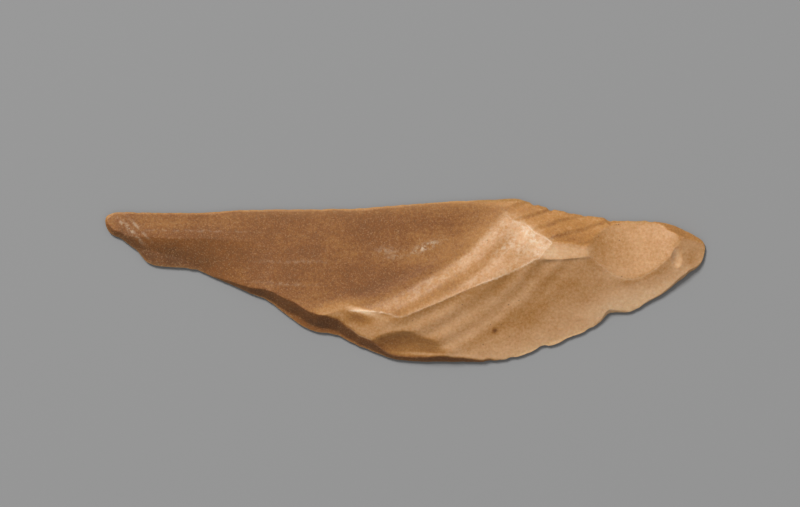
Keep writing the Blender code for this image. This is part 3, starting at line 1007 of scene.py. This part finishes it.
def flint_specks(n, place, colour):
    """Pale specks of two sizes and rare dark spots, all inside the stone."""
    colour = n.mix(n.ramp(n.noise(place, *GRAIN_PATTERN), *GRAIN_RANGE), colour, SPECK)
    cells = n.add("ShaderNodeTexVoronoi")
    cells.inputs["Scale"].default_value = SPECK_SCALE
    n.link(place, cells.inputs["Vector"])
    chosen = n.add("ShaderNodeSeparateColor")
    n.link(cells.outputs["Color"], chosen.inputs["Color"])
    near = n.ramp(cells.outputs["Distance"], *SPECK_EDGE)
    specks = n.math("MULTIPLY", near, n.ramp(chosen.outputs["Red"], *SPECK_RANGE))
    spots = n.math("MULTIPLY", near, n.ramp(chosen.outputs["Green"], *DARK_SPOT_RANGE))
    colour = n.mix(specks, colour, SPECK)
    return n.mix(spots, colour, DARK_SPOT), specks


def flint_relief(n, pattern, relief):
    """Fine bumps of one pattern."""
    bump = n.add("ShaderNodeBump")
    strength, height = relief
    bump.inputs["Strength"].default_value = strength
    bump.inputs["Distance"].default_value = height
    n.link(pattern, bump.inputs["Height"])
    return bump


def flint():
    material = bpy.data.materials.new("flint")
    material.use_nodes = True
    n = Nodes(material)
    shader = n.tree.nodes["Principled BSDF"]
    place = n.add("ShaderNodeTexCoord").outputs["Object"]
    colour = flint_wear_and_painted_light(n, place, flint_tone(n, place))
    colour, specks = flint_specks(n, place, colour)
    n.link(colour, shader.inputs["Base Color"])

    # A low sheen, duller over the specks
    sheen = n.ramp(n.noise(place, *SHEEN_PATTERN), *ROUGHNESS_RANGE)
    n.link(n.math("ADD", sheen, n.math("MULTIPLY", specks, SPECK_ROUGHNESS)), shader.inputs["Roughness"])
    shader.inputs["IOR"].default_value = FLINT_IOR
    shader.inputs["Specular IOR Level"].default_value = SPECULAR

    # Light spreads a little way under the surface of the stone
    shader.subsurface_method = "RANDOM_WALK"
    shader.inputs["Subsurface Weight"].default_value = SPREAD
    shader.inputs["Subsurface Radius"].default_value = SPREAD_COLOURS
    shader.inputs["Subsurface Scale"].default_value = SPREAD_DEPTH

    # The matt skin of broken flint
    fine = flint_relief(n, n.noise(place, *SKIN_PATTERN), SKIN_RELIEF)
    broad = flint_relief(n, n.noise(place, *WIDE_PATTERN), WIDE_RELIEF)
    n.link(fine.outputs["Normal"], broad.inputs["Normal"])
    n.link(broad.outputs["Normal"], shader.inputs["Normal"])
    return material


def blade():
    mesh = blade_mesh()
    paint(mesh)
    piece = bpy.data.objects.new("flint_blade_surface", mesh)
    bpy.context.scene.collection.objects.link(piece)
    mesh.materials.append(flint())
    mesh.shade_smooth()
    mesh.set_sharp_from_angle(angle=math.radians(SHARP_ANGLE))
    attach(piece, "root")
    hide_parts("flint_blade")


def floor():
    mesh = bpy.data.meshes.new("floor")
    bm = bmesh.new()
    bmesh.ops.create_grid(bm, x_segments=1, y_segments=1, size=FLOOR_HALF)
    bm.to_mesh(mesh)
    bm.free()
    ground = bpy.data.objects.new("floor", mesh)
    ground.location.z = -FLOOR_DROP
    bpy.context.scene.collection.objects.link(ground)
    material = bpy.data.materials.new("pale_floor")
    material.use_nodes = True
    shader = material.node_tree.nodes["Principled BSDF"]
    shader.inputs["Base Color"].default_value = FLOOR_GREY
    shader.inputs["Roughness"].default_value = FLOOR_ROUGHNESS
    shader.inputs["Specular IOR Level"].default_value = FLOOR_SPECULAR
    mesh.materials.append(material)


def lamp(name, place, size, power):
    """A soft square lamp that faces the blade."""
    data = bpy.data.lights.new(name, "AREA")
    data.size = size
    data.energy = power
    light = bpy.data.objects.new(name, data)
    light.location = place
    light.rotation_euler = (-Vector(place)).to_track_quat("-Z", "Y").to_euler()
    bpy.context.scene.collection.objects.link(light)


def lights():
    lamp("key", LAMP_PLACE, LAMP_SIZE, LAMP_POWER)
    world = bpy.data.worlds.new("studio")
    world.use_nodes = True
    background = world.node_tree.nodes["Background"]
    background.inputs["Color"].default_value = (1.0, 1.0, 1.0, 1.0)
    background.inputs["Strength"].default_value = SURROUND
    bpy.context.scene.world = world
    bpy.context.scene.view_settings.view_transform = "Standard"


def camera():
    data = bpy.data.cameras.new("camera")
    data.sensor_width = SENSOR
    data.lens = LENS
    eye = bpy.data.objects.new("camera", data)
    distance = VIEW_WIDTH * LENS / SENSOR
    eye.location = Vector(VIEW_CENTRE) + Vector((0.0, 0.0, distance))
    data.clip_start = NEAREST_SEEN
    data.clip_end = FARTHEST_SEEN
    bpy.context.scene.collection.objects.link(eye)
    bpy.context.scene.camera = eye


camera()
blade()
floor()
lights()
